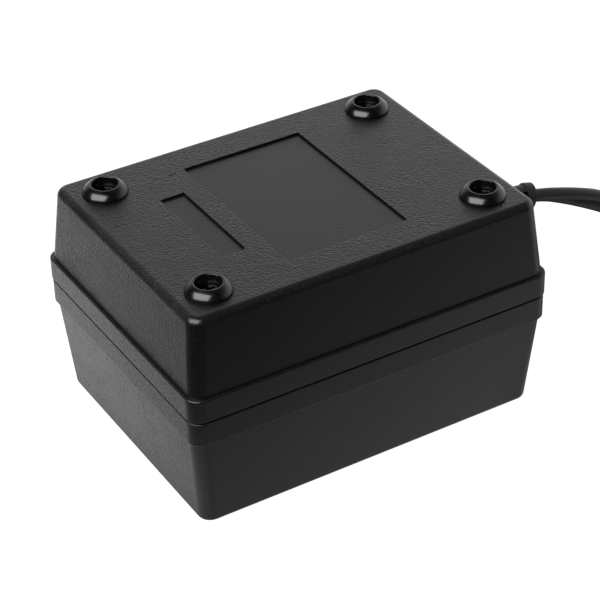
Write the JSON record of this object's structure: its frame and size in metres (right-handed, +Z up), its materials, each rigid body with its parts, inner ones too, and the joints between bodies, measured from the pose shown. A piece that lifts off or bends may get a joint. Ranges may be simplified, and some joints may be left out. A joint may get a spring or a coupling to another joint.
{
  "type": "step-up voltage converter",
  "caption": "Small black plastic box in two drafted halves held by long screws through ring feet, with a framed transformer inside, a pin outlet and a flat coiled mains lead with a blade plug.",
  "frame": {"origin": "centre of the flat cover face that the box lies on", "axes": "+X along the box towards the end that the lead leaves, +Z up through the feet, +Y away from the side of the lead"},
  "size_m": [0.229, 0.082, 0.0603],
  "materials": {
    "case": "fine-textured black moulded plastic",
    "feet": "glossy black plastic",
    "screws": "plated steel",
    "core": "varnished electrical steel",
    "frame": "plated sheet steel",
    "copper": "enamelled copper wire",
    "tape": "yellow polyester film",
    "bobbin": "natural nylon",
    "nickel": "nickel-plated brass",
    "contacts": "bare brass",
    "foam": "foam rubber",
    "outlet": "smooth black plastic",
    "vinyl": "black flexible vinyl",
    "black_wire": "vinyl-covered wire",
    "red_wire": "vinyl-covered wire",
    "white_wire": "vinyl-covered wire"
  },
  "bodies": {
    "root": {"base_shell": "case", "cover_shell": "case", "foot_left_front": "feet", "foot_left_back": "feet", "foot_right_front": "feet", "foot_right_back": "feet", "case_screw_left_front": "screws", "case_screw_left_back": "screws", "case_screw_right_front": "screws", "case_screw_right_back": "screws", "core_e_stack": "core", "core_i_stack": "core", "bobbin": "bobbin", "primary_winding": "copper", "inner_tape": "tape", "secondary_winding": "copper", "outer_tape": "tape", "primary_pin_a": "nickel", "primary_pin_b": "nickel", "secondary_pin_a": "nickel", "secondary_pin_b": "nickel", "transformer_frame": "frame", "frame_screw_left": "screws", "frame_screw_right": "screws", "frame_pad": "foam", "thermal_fuse": "nickel", "outlet_body": "outlet", "outlet_sleeve_a": "contacts", "outlet_sleeve_b": "contacts", "wire_live": "black_wire", "wire_fused": "red_wire", "wire_neutral": "white_wire", "wire_output_a": "red_wire", "wire_output_b": "red_wire", "strain_relief": "vinyl", "mains_cord": "vinyl", "cord_coil": "vinyl", "cord_tail": "vinyl", "cord_tie": "vinyl", "mains_plug": "vinyl", "plug_blade_left": "nickel", "plug_blade_right": "nickel"}
  },
  "joints": []
}
